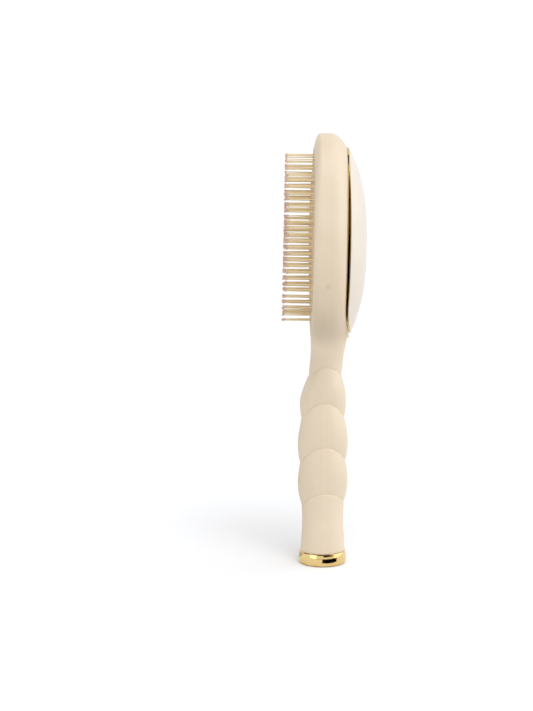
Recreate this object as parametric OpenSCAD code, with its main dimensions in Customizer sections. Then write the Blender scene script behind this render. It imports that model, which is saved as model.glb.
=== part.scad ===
/* [Handle] */
// Height of the metal end cap that the brush stands on
cap_h = 6.6; // [5:0.2:9]
// Radius of the end cap near the floor
cap_bottom_r = 13.3; // [12.2:0.1:14]
// Radius of the end cap where it meets the handle
cap_top_r = 12.4; // [11.6:0.1:12.8]
// Rounding of the lower edge of the end cap
cap_edge_r = 2.4; // [0.8:0.1:3]
// Depth by which the foot of the handle narrows to its waist
waist_dip = 0.6; // [0.2:0.05:1.2]
// Height of the first seam above the cap, seen from the front
waist_h = 25.9; // [20:0.1:32]
// Height of the lowest bead
bead_1_h = 23.55; // [18:0.05:26]
// Height of the middle bead
bead_2_h = 24.6; // [18:0.1:28]
// Height of the top bead
bead_3_h = 22.6; // [18:0.1:26]
// Fullness of the lowest bead beyond its ends
bead_1_bulge = 1.75; // [0.5:0.05:2.2]
// Fullness of the middle bead beyond its ends
bead_2_bulge = 1.7; // [0.5:0.05:2.2]
// Fullness of the top bead beyond its ends
bead_3_bulge = 2.1; // [0.5:0.05:2.6]
// Radius of the handle at the seams, from the lowest to the highest
seam_1_r = 11.3; // [10.6:0.05:11.6]
// Radius at the second seam
seam_2_r = 12.2; // [11.6:0.05:12.8]
// Radius at the third seam
seam_3_r = 11.5; // [11.2:0.05:12.2]
// Radius of the neck above the top bead
neck_r = 9.05; // [8.6:0.05:9.6]
// Height of the neck from the top of the highest seam to the head
neck_h = 16.85; // [15:0.05:24]
// Step by which each lower bead stands proud of the one above it
seam_step = 0.35; // [0.15:0.05:0.6]
// Rise of the lowest seam from the front to the sides
seam_1_rise = 8.25; // [4:0.05:10]
// Rise of the second seam from the front to the sides
seam_2_rise = 11.25; // [6:0.05:13]
// Rise of the third seam from the front to the sides
seam_3_rise = 11.35; // [6:0.05:13]
// Rise of the highest seam from the front to the sides
seam_4_rise = 8.4; // [4:0.05:10]

/* [Head] */
// Width of the head
head_w = 68; // [64:1:76]
// Height of the head from its lower edge to its top
head_h = 111.5; // [106:0.5:116]
// Distance of the front face from the handle axis, at the lower edge of the head
face_out = 7.05; // [6.4:0.05:7.6]
// Angle by which the front face leans back
face_lean = 1.1; // [0.4:0.1:2]
// Distance of the rear edge of the body from the handle axis
rear_out = 11.8; // [11.2:0.1:13]
// Width of the rounding of the front edge of the head
front_edge_w = 3; // [1.5:0.1:3.4]
// Depth of the rounding of the front edge of the head
front_edge_t = 4; // [2:0.1:5]
// Height over which the front face rounds off at its top
front_top_h = 8; // [5:0.1:12]
// Distance of the parting line of the two shells behind the handle axis
parting_out = 1.8; // [1.4:0.1:2.4]
// Width of the body's rear rim beside the back cover
cover_side_w = 5; // [4:0.1:7]
// Height of the body's rear rim above the back cover
cover_top_w = 7.7; // [6:0.05:10]
// Height of the body's rear rim below the back cover
cover_low_w = 1.1; // [0.2:0.05:2]
// Rise of the domed back cover above its edge
cover_rise = 9.5; // [7:0.1:12]
// Wall of the back cover
cover_wall = 2; // [1.6:0.1:2.4]
// Width of the slit that shows the trim ring
slit_w = 2.2; // [1.6:0.1:2.6]
// Width of the slit at its upper and lower end
slit_end_w = 0.95; // [0.6:0.05:1.6]
// Depth of the trim ring behind the edge of the body
slit_depth = 1.3; // [0.8:0.1:1.8]

/* [Cushion and pins] */
// Width of the rim of the head beside the cushion
rim_side = 6.3; // [6:0.1:8]
// Width of the rim of the head above the cushion
rim_top = 8.45; // [7.6:0.05:10]
// Width of the rim of the head below the cushion
rim_low = 5.35; // [4.6:0.05:6.6]
// Rise of the cushion above the front face
cushion_rise = 2.2; // [1:0.1:3]
// Thickness of the rubber
rubber_t = 1.5; // [1.2:0.1:1.8]
// Distance by which the cushion gives when it is pressed
cushion_travel = 2.5; // [2:0.1:3]
// Distance of the pin tips from the front face
pin_reach = 15.6; // [13:0.1:18]
// Radius of a pin at its root
pin_root_r = 0.38; // [0.3:0.02:0.6]
// Radius of the ball at the tip of a pin
pin_ball_r = 0.65; // [0.5:0.05:0.8]
// Spacing of the pins along a ring of pins
pin_gap = 3.6; // [3.3:0.1:4.6]

/* [Inside] */
// Wall of the handle at its waist
handle_wall = 2.5; // [2:0.1:3]
// Thickness of the front wall round the cushion
rim_t = 2.4; // [2:0.1:3]
// Thickness of the plate behind the air chamber
plate_t = 2; // [1.6:0.1:2.4]
// Number of screws round the plate
plate_screws_n = 10; // [6:2:12]
// Thickness of the floor of the rear shell
floor_t = 2.6; // [2.2:0.1:3]
// Free room above the balance weight in the handle
weight_room = 21; // [16:0.5:40]
// Radius of the balance weight
weight_r = 6; // [4:0.1:6.5]

/* [Hidden] */

// Clearances
overrun = 1;
fit_gap = 0.1;
soft_gap = 0.3;

// Seam heights at the front and back, from the lowest up
seam_1_z = cap_h + waist_h;
seam_2_z = seam_1_z + bead_1_h;
seam_3_z = seam_2_z + bead_2_h;
seam_4_z = seam_3_z + bead_3_h;
side_1_z = seam_1_z + seam_1_rise;
side_2_z = seam_2_z + seam_2_rise;
side_3_z = seam_3_z + seam_3_rise;
side_4_z = seam_4_z + seam_4_rise;

// Neck: where it starts to lean back, to follow the head's parting line, and to flare
neck_lean_share = 0.09;
lean_from = 11.25;
lean_z = seam_4_z - lean_from;
parting_from = 4.95;
parting_z = seam_4_z + parting_from;
parting_h = 50;
flare_from = 2.35;
flare_h = 32;
neck_top_z = side_4_z + flare_from;
flare_top_z = neck_top_z + flare_h;

// Ovals of the head and of the back cover
oval_n = 2.1;
head_z = side_4_z + neck_h;
brush_h = head_z + head_h;
head_a = head_w / 2;
head_b = head_h / 2;
head_c = head_z + head_b;
cover_a = head_a - cover_side_w;
cover_b = head_b - (cover_top_w + cover_low_w) / 2;
cover_c = head_c - (cover_top_w - cover_low_w) / 2;
rear_slope_share = 0.017;
rear_curl_out = 3;
rear_curl_h = 20;

// Seams from the top of the cap up: height, rise to the sides, shape of the rise, and how much higher
// the back is than the front
seam_base = [cap_h, seam_1_z, seam_2_z, seam_3_z, seam_4_z];
seam_rise = [0, seam_1_rise, seam_2_rise, seam_3_rise, seam_4_rise];
seam_power = [1, 0.95, 1.3, 1.25, 1.15];
seam_tilt_shares = [0, 0.1, 0.07, 0.05, 0.08];
seam_soft_share = 0.15;

// Handle segments: radii at both ends, bulge and skew
foot_r = cap_top_r;
seam_lift = seam_step / 2;
seg_low_r = [foot_r, seam_1_r, seam_2_r, seam_3_r];
seg_high_r = [seam_1_r, seam_2_r, seam_3_r, neck_r] + seam_step * [1, 1, 1, 1];
seg_bulge = [-waist_dip, bead_1_bulge, bead_2_bulge, bead_3_bulge];
seg_skew_share = [1.4, 0.95, 0.92, 1];
seg_shares = [0, 0.08, 0.2, 0.34, 0.48, 0.62, 0.76, 0.9, 1];
neck_shares = [0, 0.35, 0.7, 1];

// Facets round half a section, and the least half width of a section
side_n = 7;
edge_flat = 0.15;

function lerp(a, b, t) = a + (b - a) * t;
function clamp(v, a, b) = min(max(v, a), b);
function smooth(t) = let (c = clamp(t, 0, 1)) c * c * (3 - 2 * c);
function oval(u, a, b) = abs(u) >= b ? 0 : a * pow(1 - pow(abs(u) / b, oval_n), 1 / oval_n);

// Angles from the middle of the front, or of the back, to the side, for the points of a half section
side_angles = [for (k = [0:side_n]) 90 * (2 * k + 1) / (2 * side_n + 1)];

// Planes of the head
function parting_y(z) = parting_out * smooth((z - parting_z) / parting_h);
function face_y(z) = -face_out + (z - head_z) * tan(face_lean);
function rim_y(z) =
    rear_out + (z - cover_c) * rear_slope_share
    + rear_curl_out * pow(clamp((head_z + cover_low_w + rear_curl_h - z) / rear_curl_h, 0, 1), 2);
function neck_c(z) = max(0, z - lean_z) * neck_lean_share;

// Front-most and rear-most points of the body on its middle plane
head_share_from = 1;
head_share_h = 18;
function head_share(z) = smooth((z - neck_top_z - head_share_from) / head_share_h);
top_power = 0.37;
function top_round(z, r) = pow(clamp((brush_h - z) / r, 0, 1), top_power);
function front_y(z) =
    lerp(neck_c(z) - neck_r, face_y(z) + front_edge_t * (1 - top_round(z, front_top_h)), head_share(z));
function back_y(z) =
    lerp(neck_c(z) + neck_r, parting_y(z) + (rim_y(z) - parting_y(z)) * top_round(z, cover_top_w),
        head_share(z));

// Half width of the outline of the body at height z
flare_end = oval(flare_top_z - head_c, head_a, head_b);
flare_u = (head_c - flare_top_z) / head_b;
flare_slope = head_a / head_b * pow(1 - pow(flare_u, oval_n), 1 / oval_n - 1) * pow(flare_u, oval_n - 1);
function flare_w(z) =
    let (t = clamp((z - neck_top_z) / flare_h, 0, 1))
    neck_r * (1 + 2 * t) * (1 - t) * (1 - t) + flare_end * t * t * (3 - 2 * t)
    + flare_h * flare_slope * t * t * (t - 1);

// Shares of the way from the widest outline to the outline of the rear rim, and to that of the front face
function rear_share(z, y) =
    pow(clamp((y - parting_y(z)) / (rim_y(z) - parting_y(z)), 0, 1), 1 / top_power);
function front_share(z, y) = clamp((face_y(z) + front_edge_t - y) / front_edge_t, 0, 1);
function head_half(z, y) =
    let (
        f = rear_share(z, y),
        e = front_share(z, y),
        side_in = front_edge_w * (1 - sqrt(1 - e * e)),
        top_in = front_top_h * pow(e, 1 / top_power),
        c = lerp(head_c, cover_c, f) - (top_in - side_in) / 2,
        b = lerp(head_b, cover_b, f) - (top_in + side_in) / 2
    )
    oval(z - c, lerp(head_a, cover_a, f) - side_in, b);
function body_half(z, y, a) =
    z >= flare_top_z ? head_half(z, y)
    : flare_w(z) * lerp(sin(a), head_half(flare_top_z, y) / flare_end, head_share(z));

// One point of the skin of a bead: side angle a, share t of the way up segment i
function bead_r(i, t) =
    lerp(seg_low_r[i], seg_high_r[i], t) + seg_bulge[i] * sin(180 * pow(t, seg_skew_share[i]));
function seam_arc(a, p) =
    let (soft = seam_soft_share * seam_soft_share, least = pow(soft, p / 2))
    (pow(sin(a) * sin(a) + soft, p / 2) - least) / (pow(1 + soft, p / 2) - least);
function seam_height(k, a, back) =
    seam_base[k] + seam_rise[k] * (seam_arc(a, seam_power[k]) + back * seam_tilt_shares[k] * cos(a));
function bead_point(i, t, a, back) =
    let (
        lift = i > 0 ? seam_lift : 0,
        z = lerp(seam_height(i, a, back) + lift, seam_height(i + 1, a, back), t),
        r = bead_r(i, t)
    )
    [r * sin(a), back * r * cos(a) + neck_c(z) * cos(a), z];
function neck_point(t, a, back) =
    let (z = lerp(seam_height(4, a, back) + seam_lift, neck_top_z, t))
    [neck_r * sin(a), parting_y(z) * (1 - cos(a)) + (neck_c(z) + back * neck_r) * cos(a), z];
function head_point(z, a, back) =
    let (p = parting_y(z), y = lerp(p, back > 0 ? back_y(z) : front_y(z), cos(a)))
    [max(body_half(z, y, a), edge_flat), y, z];

// Heights of the sections of the head, closer together near both ends
head_low_n = 12;
head_mid_n = 6;
head_top_n = 9;
head_top_h = 14;
top_flat = 0.06;
head_zs = concat(
    [for (k = [1:head_low_n]) lerp(neck_top_z, flare_top_z, k / head_low_n)],
    [for (k = [1:head_mid_n]) lerp(flare_top_z, brush_h - head_top_h, k / head_mid_n)],
    [for (k = [1:head_top_n]) brush_h - top_flat
        - (head_top_h - top_flat) * (1 - sin(90 * k / head_top_n))]
);

// Both sides of one section as a closed ring of points
function both_sides(half) =
    concat(half, [for (k = [len(half) - 1:-1:0]) [-half[k][0], half[k][1], half[k][2]]]);
function body_rings(back) = concat(
    [for (i = [0:3], t = seg_shares) both_sides([for (a = side_angles) bead_point(i, t, a, back)])],
    [for (t = neck_shares) both_sides([for (a = side_angles) neck_point(t, a, back)])],
    [for (z = head_zs) both_sides([for (a = side_angles) head_point(z, a, back)])]
);

// Closed skin through a stack of rings that all have the same number of points
module loft(rings, flip = false) {
    n = len(rings[0]);
    m = len(rings);
    points = [for (r = rings, p = r) p];
    sides = [for (i = [0:m - 2], j = [0:n - 1]) let (k = (j + 1) % n)
        each [[i * n + j, i * n + k, (i + 1) * n + k], [i * n + j, (i + 1) * n + k, (i + 1) * n + j]]];
    bottom = [for (j = [1:n - 2]) [0, j + 1, j]];
    top = [for (j = [1:n - 2]) [(m - 1) * n, (m - 1) * n + j, (m - 1) * n + j + 1]];
    faces = concat(sides, bottom, top);
    polyhedron(points, flip ? faces : [for (f = faces) [f[2], f[1], f[0]]]);
}

// Closed band through a loop of rings
module band(rings) {
    n = len(rings[0]);
    m = len(rings);
    points = [for (r = rings, p = r) p];
    faces = [for (i = [0:m - 1], j = [0:n - 1]) let (a = i * n, b = (i + 1) % m * n, k = (j + 1) % n)
        each [[a + j, b + j, b + k], [a + j, b + k, a + k]]];
    polyhedron(points, faces);
}

// Frame of the front face: x across, z up the face, y into the head
face_c = head_c - (rim_top - rim_low) / 2;
module face_frame() translate([0, face_y(face_c), face_c]) rotate([-face_lean, 0, 0]) children();

// Oval slab in the face frame between two depths
function oval_points(a, b, n) = [for (k = [0:n - 1]) let (t = 360 * k / n)
    [a * sign(cos(t)) * pow(abs(cos(t)), 2 / oval_n), b * sign(sin(t)) * pow(abs(sin(t)), 2 / oval_n)]];
oval_facets = 64;
module oval_slab(a, b, y0, y1) translate([0, y1, 0]) rotate([90, 0, 0])
    linear_extrude(y1 - y0) polygon(oval_points(a, b, oval_facets));

// Depths behind the front face
lip_t = rubber_t + 0.2;
lip_y = rim_t;
lip_space = 2;
ring_y = lip_y + lip_space;
chamber_room = 3.7;
plate_y = cushion_travel + chamber_room;
plate_back = plate_y + plate_t;
open_a = head_a - rim_side;
open_b = head_b - (rim_top + rim_low) / 2;
lip_in = 1.8;
pocket_in = 3.9;
pocket_end_in = 4;
ring_in = 0.3;

// Screws of the plate
plate_screw_r = 0.7;
plate_screw_head_r = 1.2;
plate_screw_head_h = 0.9;
plate_screw_in = 2.6;
plate_screw_deep = 1.3;
plate_screws = oval_points(open_a + plate_screw_in, open_b + plate_screw_in, plate_screws_n);
module at_plate_screws() for (p = plate_screws) translate([p[0], 0, p[1]]) children();
module along_y(r, y0, y1) translate([0, y1, 0]) rotate([90, 0, 0]) cylinder(r = r, h = y1 - y0, $fn = 32);

// Screws of the shells
floor_y = rear_out - floor_t;
shell_screw_r = 1.2;
shell_screw_head_r = 2.3;
shell_screw_head_h = 1.4;
shell_screw_shares = [0.5, 0.54];
shell_screw_x = open_a * shell_screw_shares[0];
shell_screw_z = open_b * shell_screw_shares[1];
shell_boss_r = 3;
module at_shell_screws(side = [-1, 1]) for (x = [-1, 1], z = side)
    translate([x * shell_screw_x, 0, face_c + z * shell_screw_z]) children();

// Posts of the back cover
cover_post_r = 1.8;
cover_post_shares = [0.62, 0.31];
cover_post_x = cover_a * cover_post_shares[0];
cover_post_z = cover_b * cover_post_shares[1];
module at_cover_posts() for (x = [-1, 1], z = [-1, 1])
    translate([x * cover_post_x, 0, cover_c + z * cover_post_z]) children();

// Dowels that line the two shells up
dowel_r = 0.9;
dowel_l = 5;
dowel_handle_in = 1.9;
dowel_handle_z = [(side_1_z + side_2_z) / 2, (side_2_z + side_3_z) / 2];
dowel_neck_x = 5;
module at_dowels() for (x = [-1, 1]) {
    for (z = dowel_handle_z) translate([x * (bore_r + dowel_handle_in), 0, z]) children();
    translate([x * dowel_neck_x, parting_y(neck_top_z), neck_top_z]) children();
}

// Handle bore with ribs for the balance weight
bore_r = seam_1_r - handle_wall;
bore_top_gap = 6;
bore_top = seam_4_z - bore_top_gap;
insert_h = 7;
spigot_h = 5.4;
rib_h = 2;
stop_z = cap_h + spigot_h + insert_h + soft_gap;
weight_z = stop_z + rib_h;
weight_h = bore_top - rib_h - weight_room - weight_z;
rib_zs = [weight_z + weight_h * 0.25, weight_z + weight_h * 0.75];
module bore() rotate_extrude($fn = 64) polygon([
    [0, cap_h - overrun], [bore_r, cap_h - overrun], [bore_r, stop_z], [bore_r - rib_h, stop_z],
    [bore_r - rib_h, weight_z], [bore_r, weight_z],
    for (z = rib_zs) each [[bore_r, z], [weight_r + fit_gap, z], [weight_r + fit_gap, z + rib_h],
        [bore_r, z + rib_h]],
    [bore_r, bore_top - rib_h], [bore_r - rib_h, bore_top], [0, bore_top]
]);

// Vent bush on the parting line, on the right side of the head
vent_drop = 22.4;
vent_z = head_c - vent_drop;
vent_r = 1.15;
vent_hole_r = 0.5;
vent_l = 2;
vent_x = head_half(vent_z, parting_out);
module vent_place() translate([vent_x - vent_l, parting_y(vent_z), vent_z]) rotate([0, 90, 0]) children();

// Pocket of both shells for the ring, the plate and the heads of its screws
module plate_pocket() oval_slab(open_a + pocket_in, open_b + pocket_end_in, ring_y,
    plate_back + plate_screw_head_h + fit_gap);

module front_shell() color([0.86, 0.79, 0.69]) difference() {
    loft(body_rings(-1));
    bore();
    face_frame() {
        oval_slab(open_a, open_b, -overrun, rim_t + overrun);
        oval_slab(open_a + lip_in, open_b + lip_in, rim_t, ring_y + overrun);
        plate_pocket();
        at_plate_screws() along_y(plate_screw_r, ring_y - plate_screw_deep, ring_y + overrun);
    }
    at_dowels() along_y(dowel_r, -dowel_l / 2, dowel_l / 2);
    vent_place() cylinder(r = vent_r, h = vent_l + overrun, $fn = 32);
}

rear_in = 2.9;
rear_end_in = 1.1;
rear_a = open_a + rear_in;
rear_b = open_b + rear_end_in;
module rear_shell() color([0.86, 0.79, 0.69]) difference() {
    loft(body_rings(1), true);
    bore();
    face_frame() plate_pocket();
    translate([0, 0, face_c]) oval_slab(rear_a, rear_b, -overrun, floor_y);
    at_shell_screws() along_y(shell_screw_r + fit_gap, floor_y - overrun, rear_out + 2 * overrun);
    at_cover_posts() along_y(cover_post_r + fit_gap, floor_y - overrun, rear_out + 2 * overrun);
    at_dowels() along_y(dowel_r, -dowel_l / 2, dowel_l / 2);
    vent_place() cylinder(r = vent_r, h = vent_l + overrun, $fn = 32);
}

// Dome of height h at share s of its outline: q runs from -1 at its foot to 1 at its top
dome_power = 3.35;
dome_swing = 0.35;
dome_lean_share = 0.05;
function dome(s, q, h) = h * (1 - pow(s, dome_power - dome_swing * q)) * (1 - dome_lean_share * q * s);

// Ring of points on the dome, at share s of its outline
cover_facets = 48;
function slit_at(z) = lerp(slit_w, slit_end_w, pow((z - cover_c) / cover_b, 2));
function cover_ring(s, inset, h) =
    [for (p = oval_points(cover_a - inset, cover_b - inset, cover_facets))
        let (z = cover_c + p[1] * s, q = p[1] / (cover_b - inset))
        [p[0] * s, rim_y(z) + slit_at(z) + dome(s, q, h), z]];
cover_shares = [0.99, 0.95, 0.87, 0.76, 0.62, 0.45, 0.25];
cover_inner_shares = [0.3, 0.6, 0.85, 1];
module back_cover() color([0.93, 0.88, 0.81]) {
    loft(concat(
        [for (s = cover_inner_shares) cover_ring(s, cover_wall + slit_depth, cover_rise - cover_wall)],
        [cover_ring(1, 0, 0)],
        [for (s = cover_shares) cover_ring(s, 0, cover_rise)]
    ), true);
    at_cover_posts() along_y(cover_post_r, floor_y, rear_out + slit_w + cover_rise / 2);
}

trim_t = 1.4;
function trim_ring_points(inset, y_share) =
    [for (p = oval_points(cover_a - inset, cover_b - inset, cover_facets))
        let (z = cover_c + p[1]) [p[0], rim_y(z) + lerp(fit_gap, slit_at(z) - fit_gap, y_share), z]];
module trim_ring() color([0.85, 0.66, 0.3]) band([
    trim_ring_points(slit_depth, 0), trim_ring_points(slit_depth + trim_t, 0),
    trim_ring_points(slit_depth + trim_t, 1), trim_ring_points(slit_depth, 1)
]);

module end_cap() color([0.85, 0.66, 0.3]) difference() {
    rotate_extrude($fn = 64) polygon([
        [0, 0],
        for (t = [-90:15:0])
            [cap_bottom_r - cap_edge_r + cap_edge_r * cos(t), cap_edge_r + cap_edge_r * sin(t)],
        [cap_top_r, cap_h], [bore_r - fit_gap, cap_h],
        [bore_r - fit_gap, cap_h + spigot_h], [0, cap_h + spigot_h]
    ]);
    translate([0, 0, stud_z]) cylinder(r = stud_r + fit_gap / 2, h = cap_h + spigot_h, $fn = 32);
}

stud_r = 3;
stud_z = 2.6;
module cap_insert() color([0.3, 0.3, 0.3]) difference() {
    translate([0, 0, cap_h + spigot_h]) cylinder(r = bore_r - fit_gap, h = insert_h, $fn = 64);
    translate([0, 0, cap_h]) cylinder(r = stud_r + fit_gap / 2, h = brush_h / 2, $fn = 32);
}
module cap_stud() color([0.6, 0.6, 0.62])
    translate([0, 0, stud_z]) cylinder(r = stud_r, h = cap_h + spigot_h + insert_h - stud_z, $fn = 32);
module balance_weight() color([0.5, 0.5, 0.52]) translate([0, 0, weight_z])
    cylinder(r = weight_r, h = weight_h, $fn = 48);
module locating_pins() color([0.7, 0.7, 0.72]) at_dowels()
    along_y(dowel_r - fit_gap / 2, -dowel_l / 2 + fit_gap, dowel_l / 2 - fit_gap);
module vent_bush() color([0.8, 0.72, 0.6]) vent_place() difference() {
    cylinder(r = vent_r - fit_gap / 2, h = vent_l, $fn = 32);
    translate([0, 0, -overrun]) cylinder(r = vent_hole_r, h = vent_l + 2 * overrun, $fn = 24);
}

plate_a = open_a + pocket_in - ring_in;
plate_b = open_b + pocket_end_in - ring_in;
module retaining_ring() color([0.35, 0.34, 0.33]) face_frame() difference() {
    oval_slab(plate_a, plate_b, ring_y, plate_y);
    oval_slab(open_a - ring_in, open_b - ring_in, ring_y - overrun, plate_y + overrun);
    at_plate_screws() along_y(plate_screw_r + fit_gap, ring_y - overrun, plate_y + overrun);
}
module backing_plate() color([0.4, 0.39, 0.38]) difference() {
    union() {
        face_frame() oval_slab(plate_a, plate_b, plate_y, plate_back);
        at_shell_screws() along_y(shell_boss_r, face_y(face_c) + plate_back - plate_t / 2, floor_y);
    }
    face_frame() at_plate_screws()
        along_y(plate_screw_r + fit_gap, plate_y - overrun, plate_back + overrun);
    at_shell_screws() along_y(shell_screw_r, face_y(face_c) + plate_back, floor_y + overrun);
}
module plate_screws() color([0.65, 0.65, 0.67]) face_frame() at_plate_screws() {
    along_y(plate_screw_r - fit_gap / 2, ring_y - plate_screw_deep + fit_gap, plate_back + fit_gap);
    along_y(plate_screw_head_r, plate_back, plate_back + plate_screw_head_h);
}
module shell_screws() color([0.65, 0.65, 0.67]) for (side = [-1, 1]) {
    seat_y = rim_y(face_c + side * shell_screw_z + shell_screw_head_r);
    at_shell_screws([side]) {
        along_y(shell_screw_r - fit_gap / 2, face_y(face_c) + plate_back + soft_gap, seat_y + fit_gap);
        along_y(shell_screw_head_r, seat_y, seat_y + shell_screw_head_h);
    }
}

// Pin field, its backing slice and the cushion round it
field_in = 1.6;
field_a = open_a - field_in;
field_b = open_b - field_in;
slice_t = 0.9;
cushion_edge = 0.5;
cushion_power = 0.75;
function cushion_y(x, z) =
    let (q = pow(abs(x) / open_a, 2) + pow(abs(z) / open_b, 2))
    cushion_edge - (cushion_rise + cushion_edge) * pow(max(0, 1 - q), cushion_power);
cushion_facets = 40;
function cushion_ring(a, b, drop) =
    [for (p = oval_points(a, b, cushion_facets)) [p[0], cushion_y(p[0], p[1]) + drop, p[1]]];
function flat_ring(a, b, y) = [for (p = oval_points(a, b, cushion_facets)) [p[0], y, p[1]]];
module cushion() color([0.78, 0.7, 0.6]) face_frame() {
    inner_a = open_a - rubber_t;
    inner_b = open_b - rubber_t;
    lip_a = open_a + lip_in - soft_gap;
    lip_b = open_b + lip_in - soft_gap;
    pit_a = field_a + soft_gap;
    pit_b = field_b + soft_gap;
    pit_drop = slice_t + soft_gap;
    loft(concat(
        [for (s = [0.2, 0.5, 0.8, 1]) cushion_ring(inner_a * s, inner_b * s, pit_drop + rubber_t)],
        [
            flat_ring(inner_a, inner_b, lip_y + lip_t),
            flat_ring(lip_a, lip_b, lip_y + lip_t),
            flat_ring(lip_a, lip_b, lip_y + fit_gap),
            flat_ring(open_a - soft_gap, open_b - soft_gap, lip_y + fit_gap),
            flat_ring(open_a - soft_gap, open_b - soft_gap, cushion_edge),
            cushion_ring(pit_a, pit_b, 0),
            cushion_ring(pit_a, pit_b, pit_drop)
        ],
        [for (s = [0.8, 0.5, 0.2]) cushion_ring(field_a * s, field_b * s, pit_drop)]
    ));
}

// Rings of pins, from the outside in: their ovals, and the pins spaced evenly along each
rings_n = 7;
pin_in = 1.5;
core_a = 2.1;
core_in = 26.4;
core_b = field_b - core_in;
pin_neck_share = 0.9;
pin_ball_share = 0.955;
pin_neck_r = 0.29;
pin_tip_round = 1.5;
path_facets = 120;
function ring_a(i) = lerp(field_a - pin_in, core_a, i / (rings_n - 1));
function ring_b(i) = lerp(field_b - pin_in, core_b, i / (rings_n - 1));
function running_length(path) = let (n = len(path))
    [for (i = 0, d = 0; i <= n; d = d + norm(path[(i + 1) % n] - path[i % n]), i = i + 1) d];
function at_length(path, run, d) = let (n = len(path))
    [for (i = [0:n - 1]) if (run[i] <= d && d < run[i + 1])
        lerp(path[i], path[(i + 1) % n], (d - run[i]) / (run[i + 1] - run[i]))][0];
function ring_pins(i) =
    let (
        path = oval_points(ring_a(i), ring_b(i), path_facets),
        run = running_length(path),
        n = round(run[path_facets] / pin_gap)
    )
    [for (k = [0:n - 1]) at_length(path, run, (k + i % 2 / 2) / n * run[path_facets])];
function pin_section(root, tip, t, r) = [for (a = [0, 120, 240])
    [lerp(root[0], tip[0], t) + r * cos(a), lerp(root[1], tip[1], t), lerp(root[2], tip[2], t) + r * sin(a)]];
module pin(p) {
    root = [p[0], cushion_y(p[0], p[1]) + slice_t / 2, p[1]];
    tip = [p[0], -pin_reach + pin_tip_round * pow(p[0] / open_a, 2), p[1]];
    rings = [pin_section(root, tip, 0, pin_root_r), pin_section(root, tip, pin_neck_share, pin_neck_r),
        pin_section(root, tip, pin_ball_share, pin_ball_r)];
    points = concat([for (r = rings, q = r) q], [tip]);
    faces = concat([[0, 2, 1]],
        [for (i = [0, 1], j = [0:2]) let (a = i * 3 + j, b = i * 3 + (j + 1) % 3)
            each [[a, b, b + 3], [a, b + 3, a + 3]]],
        [for (j = [0:2]) [6 + j, 6 + (j + 1) % 3, 9]]);
    polyhedron(points, [for (f = faces) [f[2], f[1], f[0]]]);
}

// Slice of the cushion's crown that the pins of one ring stand on
slice_facets = 36;
function edge_oval(i) = i == 0 ? [field_a, field_b]
    : [(ring_a(i - 1) + ring_a(i)) / 2, (ring_b(i - 1) + ring_b(i)) / 2];
function slice_ring(e, drop, s = 1) = [for (p = oval_points(e[0] * s, e[1] * s, slice_facets))
    [p[0], cushion_y(p[0], p[1]) + drop, p[1]]];
module slice(i) {
    outer = edge_oval(i);
    if (i == rings_n - 1) {
        loft([slice_ring(outer, slice_t), slice_ring(outer, 0), slice_ring(outer, 0, 0.5)]);
    } else {
        inner = edge_oval(i + 1);
        band([slice_ring(outer, 0), slice_ring(inner, 0), slice_ring(inner, slice_t),
            slice_ring(outer, slice_t)]);
    }
}
module pin_ring(ring) color([0.78, 0.68, 0.5]) face_frame() {
    slice(ring - 1);
    for (p = ring_pins(ring - 1)) pin(p);
}

front_shell();
rear_shell();
back_cover();
trim_ring();
end_cap();
cap_insert();
cap_stud();
balance_weight();
locating_pins();
vent_bush();
cushion();
retaining_ring();
backing_plate();
plate_screws();
shell_screws();
pin_ring(1);  // pin_ring_1
pin_ring(2);  // pin_ring_2
pin_ring(3);  // pin_ring_3
pin_ring(4);  // pin_ring_4
pin_ring(5);  // pin_ring_5
pin_ring(6);  // pin_ring_6
pin_ring(7);  // pin_ring_7
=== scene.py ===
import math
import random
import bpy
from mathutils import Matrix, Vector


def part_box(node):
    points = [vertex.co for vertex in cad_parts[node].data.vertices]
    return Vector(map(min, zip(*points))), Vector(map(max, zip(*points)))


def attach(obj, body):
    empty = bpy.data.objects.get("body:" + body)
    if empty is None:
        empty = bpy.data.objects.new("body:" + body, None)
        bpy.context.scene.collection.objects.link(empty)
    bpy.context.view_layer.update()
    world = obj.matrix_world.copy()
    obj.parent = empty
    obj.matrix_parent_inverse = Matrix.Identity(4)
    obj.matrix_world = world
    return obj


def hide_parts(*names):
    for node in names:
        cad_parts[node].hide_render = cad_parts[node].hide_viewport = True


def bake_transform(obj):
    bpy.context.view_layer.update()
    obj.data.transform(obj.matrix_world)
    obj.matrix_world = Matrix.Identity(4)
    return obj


bl_info = {
    "name": "Detangling Brush",
    "version": (1, 0, 0),
    "blender": (4, 5, 0),
    "location": "View3D > Sidebar > Brush",
    "description": "Builds and finishes the visible pieces of an upright detangling brush",
    "category": "Object",
}

import bmesh
import bpy
from bpy.props import FloatProperty, FloatVectorProperty, IntProperty, PointerProperty
from mathutils import Matrix, Vector

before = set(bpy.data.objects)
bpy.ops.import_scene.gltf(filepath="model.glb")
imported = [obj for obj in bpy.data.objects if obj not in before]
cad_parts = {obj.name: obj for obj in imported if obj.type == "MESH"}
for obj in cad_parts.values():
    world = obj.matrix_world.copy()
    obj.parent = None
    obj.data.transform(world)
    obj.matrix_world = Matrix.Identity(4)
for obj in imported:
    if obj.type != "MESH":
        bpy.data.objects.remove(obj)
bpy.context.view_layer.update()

MM = 0.001
BODY = "brush_body"
FIELD = "pin_field"


# Settings


def length(name, millimetres, about):
    return FloatProperty(
        name=name, description=about, default=millimetres * MM, min=0.0,
        subtype="DISTANCE", unit="LENGTH", precision=5,
    )


def lengths(name, millimetres, about):
    return FloatVectorProperty(
        name=name, description=about, default=[v * MM for v in millimetres], size=len(millimetres), min=0.0,
        unit="LENGTH", precision=5,
    )


def share(name, value, about):
    return FloatProperty(name=name, description=about, default=value, min=0.0, max=1.0, subtype="FACTOR")


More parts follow.
